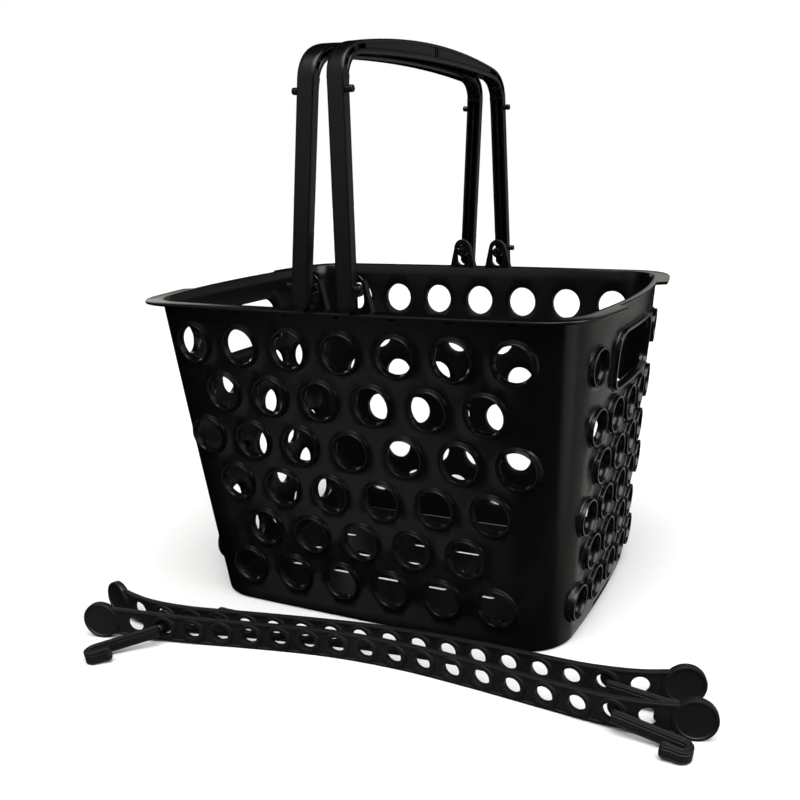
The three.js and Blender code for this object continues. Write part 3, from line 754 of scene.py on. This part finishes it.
class Route:
    """A centripetal Catmull-Rom curve on the ground, measured along its length."""

    def __init__(self, points):
        p = [np.array(q, float) for q in points]
        p = [2 * p[0] - p[1]] + p + [2 * p[-1] - p[-2]]
        made = []
        for a, b, c, d in zip(p, p[1:], p[2:], p[3:]):
            ta, tb, tc = (math.sqrt(np.linalg.norm(v - u)) for u, v in ((a, b), (b, c), (c, d)))
            m1 = ((b - a) / ta - (c - a) / (ta + tb) + (c - b) / tb) * tb
            m2 = ((c - b) / tb - (d - b) / (tb + tc) + (d - c) / tc) * tb
            t = np.linspace(0, 1, 200, endpoint=False)[:, None]
            made.append(b + m1 * t + (3 * (c - b) - 2 * m1 - m2) * t ** 2 + (2 * (b - c) + m1 + m2) * t ** 3)
        self.points = np.concatenate(made + [p[-2][None]])
        self.length = np.concatenate([[0], np.cumsum(np.linalg.norm(np.diff(self.points, axis=0), axis=1))])

    def spot(self, s):
        return np.array([np.interp(s, self.length, self.points[:, k]) for k in (0, 1)])

    def at(self, s):
        """Middle of the strap at length s, its direction and the normal of its front."""
        inside_s = min(max(s, 0.0), SPAN)
        middle = min(max(inside_s, 0.4), self.length[-1] - 0.4)
        d = self.spot(middle + 0.4) - self.spot(middle - 0.4)
        d /= np.linalg.norm(d)
        xy = self.spot(inside_s) + d * (s - inside_s)
        from_end = max(min(s, SPAN - s), 0)
        z = STRAP_H + (DISC_R - STRAP_H) * math.exp(-(from_end / 55) ** 2)
        return np.array([xy[0], xy[1], z]), np.array([d[0], d[1], 0]), np.array([d[1], -d[0], 0])

    def bend(self, p):
        """Takes a point of the flat strap (length, height, towards the front) to its place."""
        point, _, front = self.at(p[0])
        return tuple(point + front * p[2] + np.array([0, 0, p[1]]))


def strap_flat():
    """The whole strap laid out flat: X along it, Y its height, Z towards its front."""
    shape = Shape()
    ring_r, bay_r, end_bay_r, border, sunk = 8.75, 9.15, 14.1, 8.2, 0.95
    holes = [FIRST_HOLE + i * PITCH for i in range(STRAP_HOLES)]
    unit = circle(40)

    def edge_loop(v, n):
        """The band's outline at half height v: along its foot, round its end, along its top, back."""
        reach = math.sqrt(END_R ** 2 - v * v)
        count = 96
        foot = [(reach + (SPAN - 2 * reach) * k / count, -v, n) for k in range(count)]
        ends = np.linspace(-1, 1, 13)[:-1]
        right = [(SPAN - math.sqrt(END_R ** 2 - (v * e) ** 2), v * e, n) for e in ends]
        return foot + right + [(SPAN - s, -y, m) for s, y, m in foot + right]

    def bay(i, grown, n):
        """The outline of sunk web i: the first and last lie between a disc and a ring."""
        start, first = (0.0, end_bay_r + grown) if i == 0 else (holes[i], bay_r + grown)
        stop, last = (SPAN, end_bay_r + grown) if i == STRAP_HOLES - 2 else (holes[i + 1], bay_r + grown)
        b = border - grown
        a, c = math.asin(b / first), math.asin(b / last)
        left, right = start + first * math.cos(a), stop - last * math.cos(c)
        pts = [(start + first * math.cos(t), first * math.sin(t), n) for t in np.linspace(-a, a, 17)]
        pts += [(left + (right - left) * k / 4, b, n) for k in range(1, 4)]
        pts += [(stop - last * math.cos(t), last * math.sin(t), n) for t in np.linspace(c, -c, 17)]
        return pts + [(right + (left - right) * k / 4, -b, n) for k in range(1, 4)]

    def spots(i, r, n):
        return [(holes[i] + r * c, r * s, n) for c, s in unit]

    for face in (1, -1):
        floor_n = face * (STRAP_T - sunk)
        bays = [(bay(i, 0.0, face * STRAP_T), bay(i, 0.35, floor_n)) for i in range(STRAP_HOLES - 1)]
        rings = [spots(i, ring_r, face * STRAP_T) for i in range(1, STRAP_HOLES - 1)]
        boundary = edge_loop(STRAP_H - 0.5, face * STRAP_T)
        sheet(shape, boundary, [top for top, _ in bays] + rings, lambda p: np.array(p)[:, :2],
              lambda u, v: (u, v, face * STRAP_T), 6.0, 1.5)
        for i, (top, low) in enumerate(bays):
            shape.skin([top, low])
            plain = {0: 0, STRAP_HOLES - 2: STRAP_HOLES - 1}.get(i)
            loops = [] if plain is None else [spots(plain, STRAP_BORE, floor_n)]
            sheet(shape, low, loops, lambda p: np.array(p)[:, :2], lambda u, v: (u, v, floor_n), 4.0, 1.2)
        for i in range(1, STRAP_HOLES - 1):
            steps = [(ring_r, 0.0), (ring_r - 0.12, 0.28), (ring_r - 0.42, 0.38), (STRAP_BORE + 0.55, 0.38),
                     (STRAP_BORE + 0.12, 0.2), (STRAP_BORE, -0.3), (STRAP_BORE, -STRAP_T)]
            shape.skin([spots(i, r, face * (STRAP_T + up)) for r, up in steps])
    for i in (0, STRAP_HOLES - 1):
        shape.skin([spots(i, STRAP_BORE, n) for n in (STRAP_T - sunk, sunk - STRAP_T)])
    edge = [(0.5, STRAP_T), (0.15, STRAP_T - 0.12), (0.0, STRAP_T - 0.5), (0.0, 0.0)]
    edge += [(e, -n) for e, n in reversed(edge[:-1])]
    shape.skin([edge_loop(STRAP_H - e, n) for e, n in edge])
    return shape


def strap_piece(points, name, body, node, material):
    route = Route(points)
    flat = strap_flat()
    shape = Shape()
    shape.absorb(flat, route.bend)
    disc = [(0.5, 1.75), (10.5, 1.75), (10.95, 1.85), (11.15, 2.2), (11.45, 2.45), (12.5, 2.5)]
    disc += [(13.05, 2.2), (DISC_R, 1.6)]
    disc = disc + [(r, -n) for r, n in reversed(disc)]
    for s in (0.0, SPAN):
        point, run, front = route.at(s)
        lathe(shape, disc, lambda a, b, n: tuple(point + run * a + np.array([0, 0, b]) + front * n), 64)
    return shape.build(name, body, material, sharp=38.0, replaces=node)


# ---------- hooks ----------

HOOK_T, HOOK_W, SHANK, BEND, BACK, HOOK_GAP = 2.25, 4.0, 43.7, 5.0, 8.0, 0.8
NECK_X, HEAD_R, HEAD_T, SLOPE = 2.6, 6.6, 2.4, math.radians(8)


def hook_profile(t, w):
    """A rounded bar with two grooves along each broad face and one along each edge."""
    quarter = [(0.0, w - 0.55), (0.55, w - 0.55), (0.75, w - 0.1), (0.95, w), (t - 0.4, w)]
    quarter += [(t - 0.1, w - 0.12), (t, w - 0.45), (t, w - 0.95), (t - 0.42, w - 1.15)]
    quarter += [(t - 0.45, w - 1.85), (t, w - 2.1), (t, 0.0)]
    right = quarter + [(a, -b) for a, b in reversed(quarter[:-1])]
    return right + [(-a, b) for a, b in reversed(right[1:-1])]


def hook_path():
    """Stations along the hook: middle point, direction angle and swelling."""
    stations = [(x, 0.0, 0.0, 0.0) for x in np.linspace(2.1, SHANK, 10)]
    for a in np.linspace(0, math.pi, 21)[1:]:
        stations.append((SHANK + BEND * math.sin(a), BEND * (1 - math.cos(a)), a, 0.0))
    bulb = [(0.3, 0.0), (0.55, 0.05), (0.7, 0.35), (0.82, 0.6), (0.95, 0.65), (1.05, 0.55), (1.15, 0.25)]
    for k, swell in bulb:
        stations.append((SHANK - BACK * k, 2 * BEND, math.pi, swell))
    return stations


def hook_shape(turn):
    shape = Shape()
    stations = hook_path()
    loops = []
    first, last = stations[0], stations[-1]
    caps = [(0.25, -0.5), (0.7, -0.45), (0.93, -0.2)]

    def section(x, y, angle, swell, scale=1.0, ahead=0.0):
        c, s = math.cos(angle), math.sin(angle)
        pts = []
        for a, b in hook_profile(HOOK_T + swell, HOOK_W):
            a, b = a * scale, b * (1 - (1 - scale) * 0.5)
            pts.append((x + ahead * c + a * s, y + ahead * s - a * c, b))
        return pts

    for scale, ahead in caps:
        loops.append(section(*first, scale=scale, ahead=ahead))
    loops += [section(*st) for st in stations]
    for scale, ahead in ((0.9, 0.55), (0.7, 1.05), (0.4, 1.35), (0.1, 1.45)):
        loops.append(section(*last, scale=scale, ahead=ahead))
    ids = shape.skin(loops)
    shape.faces += [tuple(reversed(ids[0])), tuple(ids[-1])]
    face = STRAP_T + HOOK_GAP

    def place(p):
        x, y, z = p
        x, z = x * math.cos(SLOPE) + z * math.sin(SLOPE), -x * math.sin(SLOPE) + z * math.cos(SLOPE)
        x, y = x * math.cos(turn) - y * math.sin(turn), x * math.sin(turn) + y * math.cos(turn)
        return (x, y + face + HOOK_T, z)

    placed = Shape()
    placed.absorb(shape, place)
    back = -face - HEAD_T
    neck = [(0.4, back + 0.6), (2.6, back + 0.7), (2.6, face + 0.6), (2.2, face + 1.2)]
    head = [(0.4, back), (5.9, back), (6.4, back + 0.2), (HEAD_R, back + 0.7), (HEAD_R, -face - 0.5)]
    head += [(6.3, -face - 0.1), (5.9, -face), (0.4, -face)]
    for profile in (neck, head):
        lathe(placed, profile, lambda a, b, y: (NECK_X + a, y, b), 36)
    return placed


def hook_piece(points, i, end, face, turn, name, body, node, material):
    point, _, front = Route(points).at(FIRST_HOLE + i * PITCH)
    out = front * face
    run = np.array([out[1], -out[0], 0])
    flip = -1 if end == face else 1
    shape = Shape()
    shape.absorb(hook_shape(math.radians(turn)),
                 lambda p: tuple(point + run * p[0] * flip + out * p[1] + np.array([0, 0, p[2]])))
    return shape.build(name, body, material, sharp=30.0, replaces=node)


# ---------- materials ----------


def moulded(name, dark, light, rough, patch, grain, bump):
    """A moulded black material: slow changes of shade and gloss, and a fine grain in the surface."""
    material = bpy.data.materials.new(name)
    material.use_nodes = True
    nodes, links = material.node_tree.nodes, material.node_tree.links
    shader = nodes["Principled BSDF"]
    shader.inputs["IOR"].default_value = 1.49
    place = nodes.new("ShaderNodeTexCoord")

    def noise(scale, detail):
        made = nodes.new("ShaderNodeTexNoise")
        made.inputs["Scale"].default_value = scale
        made.inputs["Detail"].default_value = detail
        links.new(place.outputs["Object"], made.inputs["Vector"])
        return made.outputs["Fac"]

    slow, fine = noise(patch, 3.0), noise(grain, 2.0)
    shade = nodes.new("ShaderNodeValToRGB")
    shade.color_ramp.elements[0].position, shade.color_ramp.elements[0].color = 0.3, (*dark, 1)
    shade.color_ramp.elements[1].position, shade.color_ramp.elements[1].color = 0.7, (*light, 1)
    links.new(slow, shade.inputs["Fac"])
    links.new(shade.outputs["Color"], shader.inputs["Base Color"])
    gloss = nodes.new("ShaderNodeMapRange")
    gloss.inputs["From Min"].default_value, gloss.inputs["From Max"].default_value = 0.3, 0.7
    gloss.inputs["To Min"].default_value, gloss.inputs["To Max"].default_value = rough
    links.new(slow, gloss.inputs["Value"])
    links.new(gloss.outputs["Result"], shader.inputs["Roughness"])
    relief = nodes.new("ShaderNodeBump")
    relief.inputs["Strength"].default_value = bump
    relief.inputs["Distance"].default_value = 0.0003
    links.new(fine, relief.inputs["Height"])
    links.new(relief.outputs["Normal"], shader.inputs["Normal"])
    return material


BASKET = moulded("basket_plastic", dark=(0.0018, 0.0019, 0.0017), light=(0.0030, 0.0031, 0.0028),
                 rough=(0.17, 0.23), patch=9.0, grain=900.0, bump=0.03)
RUBBER = moulded("strap_rubber", dark=(0.0040, 0.0043, 0.0041), light=(0.0062, 0.0065, 0.0062),
                 rough=(0.40, 0.48), patch=14.0, grain=1400.0, bump=0.10)
NYLON = moulded("hook_plastic", dark=(0.0060, 0.0060, 0.0056), light=(0.0095, 0.0094, 0.0088),
                rough=(0.36, 0.44), patch=22.0, grain=1300.0, bump=0.08)

basket_shell(BASKET)
ears_and_gussets(BASKET)
handle_piece(-1, 5.2, "left_bail", "left_handle", "handle_left", BASKET)
handle_piece(1, 0.4, "right_bail", "right_handle", "handle_right", BASKET)
strap_piece(FRONT_ROUTE, "front_band", "front_strap", "strap_front", RUBBER)
strap_piece(REAR_ROUTE, "rear_band", "rear_strap", "strap_rear", RUBBER)
hook_piece(FRONT_ROUTE, 1, -1, 1, 30, "front_left_hook_bar", "front_left_hook", "hook_front_left", NYLON)
hook_piece(FRONT_ROUTE, 16, 1, 1, 3, "front_right_hook_bar", "front_right_hook", "hook_front_right", NYLON)
hook_piece(REAR_ROUTE, 1, 1, -1, 9, "rear_left_hook_bar", "rear_left_hook", "hook_rear_left", NYLON)
hook_piece(REAR_ROUTE, 16, 1, 1, 1, "rear_right_hook_bar", "rear_right_hook", "hook_rear_right", NYLON)

# ---------- camera, floor and light ----------


def camera():
    turn, tilt, roll = math.radians(24.23), math.radians(14.83), math.radians(-1.51)
    ahead = Vector((-math.sin(turn) * math.cos(tilt), math.cos(turn) * math.cos(tilt), -math.sin(tilt)))
    right = Vector((math.cos(turn), math.sin(turn), 0))
    up = right.cross(ahead)
    across = right * math.cos(roll) + up * math.sin(roll)
    upright = -right * math.sin(roll) + up * math.cos(roll)
    data = bpy.data.cameras.new("camera")
    data.lens, data.sensor_width, data.shift_x = 40.51, 36.0, -0.0728
    thing = bpy.data.objects.new("camera", data)
    bpy.context.scene.collection.objects.link(thing)
    basis = Matrix((across, upright, -ahead)).transposed().to_4x4()
    thing.matrix_world = Matrix.Translation((0.3061, -0.6137, 0.3242)) @ basis
    bpy.context.scene.camera = thing
    bpy.context.scene.view_settings.view_transform = "Standard"


camera()


def paper():
    material = bpy.data.materials.new("floor")
    material.use_nodes = True
    nodes, links = material.node_tree.nodes, material.node_tree.links
    shader = nodes["Principled BSDF"]
    shader.inputs["Roughness"].default_value = 0.8
    place, noise, shade = (nodes.new(f"ShaderNode{k}") for k in ("TexCoord", "TexNoise", "ValToRGB"))
    noise.inputs["Scale"].default_value = 3.0
    shade.color_ramp.elements[0].color = (0.93, 0.93, 0.93, 1)
    shade.color_ramp.elements[1].color = (0.95, 0.95, 0.95, 1)
    links.new(place.outputs["Object"], noise.inputs["Vector"])
    links.new(noise.outputs["Fac"], shade.inputs["Fac"])
    links.new(shade.outputs["Color"], shader.inputs["Base Color"])
    return material


def floor():
    mesh = bpy.data.meshes.new("floor")
    mesh.from_pydata([(-6, -6, 0), (6, -6, 0), (6, 6, 0), (-6, 6, 0)], [], [(0, 1, 2, 3)])
    thing = bpy.data.objects.new("floor", mesh)
    bpy.context.scene.collection.objects.link(thing)
    mesh.materials.append(paper())
    thing.visible_glossy = False


floor()


def area(name, place, aim, size, power):
    data = bpy.data.lights.new(name, "AREA")
    data.shape, data.size, data.size_y, data.energy = "RECTANGLE", size[0], size[1], power
    thing = bpy.data.objects.new(name, data)
    bpy.context.scene.collection.objects.link(thing)
    thing.location = place
    thing.rotation_euler = (Vector(aim) - Vector(place)).to_track_quat("-Z", "Y").to_euler()


area("right_box", (2.0, -0.3, 1.3), (0.1, 0, 0.2), (1.2, 1.2), 12)


def sun(turn, lift, strength, softness):
    data = bpy.data.lights.new("sun", "SUN")
    data.energy, data.angle = strength, math.radians(softness)
    thing = bpy.data.objects.new("sun", data)
    bpy.context.scene.collection.objects.link(thing)
    thing.rotation_euler = (-heading(turn, lift)).to_track_quat("-Z", "Y").to_euler()


def heading(turn, lift):
    """A direction: turn in degrees from +Y towards +X, lift in degrees above the horizon."""
    t, l = math.radians(turn), math.radians(lift)
    return Vector((math.sin(t) * math.cos(l), math.cos(t) * math.cos(l), math.sin(l)))


# Soft boxes painted on the world: turn, lift, half angle of the core, half angle of the edge, strength.
SOFT_BOXES = [
    (-147, -30, 3, 14, 0.26),
    (-150, 24, 8, 34, 0.34),
    (170, 58, 12, 42, 1.1),
    (92, -20, 6, 22, 0.45),
    (50, -20, 12, 38, 0.25),
    (24, 4, 8, 24, 0.15),
    (12, -26, 6, 20, 0.42),
    (-7, 12, 7, 11, 0.5),
    (-49, 12, 6, 11, 1.0),
    (75, 25, 10, 40, 0.5),
]
TINT = (0.97, 1.0, 0.93)


def studio():
    """White behind the object for the camera; soft boxes on black for everything else."""
    world = bpy.data.worlds.new("world")
    bpy.context.scene.world = world
    world.use_nodes = True
    nodes, links = world.node_tree.nodes, world.node_tree.links
    lit = nodes["Background"]
    place = nodes.new("ShaderNodeTexCoord")
    total = None
    for turn, lift, core, edge, strength in SOFT_BOXES:
        dot, glow = nodes.new("ShaderNodeVectorMath"), nodes.new("ShaderNodeMapRange")
        dot.operation, dot.inputs[1].default_value = "DOT_PRODUCT", heading(turn, lift)
        glow.interpolation_type = "SMOOTHSTEP"
        glow.inputs["From Min"].default_value = math.cos(math.radians(edge))
        glow.inputs["From Max"].default_value = math.cos(math.radians(core))
        glow.inputs["To Min"].default_value, glow.inputs["To Max"].default_value = 0.0, strength
        links.new(place.outputs["Generated"], dot.inputs[0])
        links.new(dot.outputs["Value"], glow.inputs["Value"])
        if total is None:
            total = glow.outputs["Result"]
        else:
            add = nodes.new("ShaderNodeMath")
            add.operation = "ADD"
            links.new(total, add.inputs[0])
            links.new(glow.outputs["Result"], add.inputs[1])
            total = add.outputs["Value"]
    tint = nodes.new("ShaderNodeVectorMath")
    tint.operation, tint.inputs[0].default_value = "SCALE", TINT
    links.new(total, tint.inputs["Scale"])
    links.new(tint.outputs["Vector"], lit.inputs["Color"])
    seen, paths, pick = (nodes.new(f"ShaderNode{k}") for k in ("Background", "LightPath", "MixShader"))
    seen.inputs["Color"].default_value = (1, 1, 1, 1)
    links.new(paths.outputs["Is Camera Ray"], pick.inputs["Fac"])
    links.new(lit.outputs["Background"], pick.inputs[1])
    links.new(seen.outputs["Background"], pick.inputs[2])
    links.new(pick.outputs["Shader"], nodes["World Output"].inputs["Surface"])


sun(150, 68, 3.3, 70)
studio()
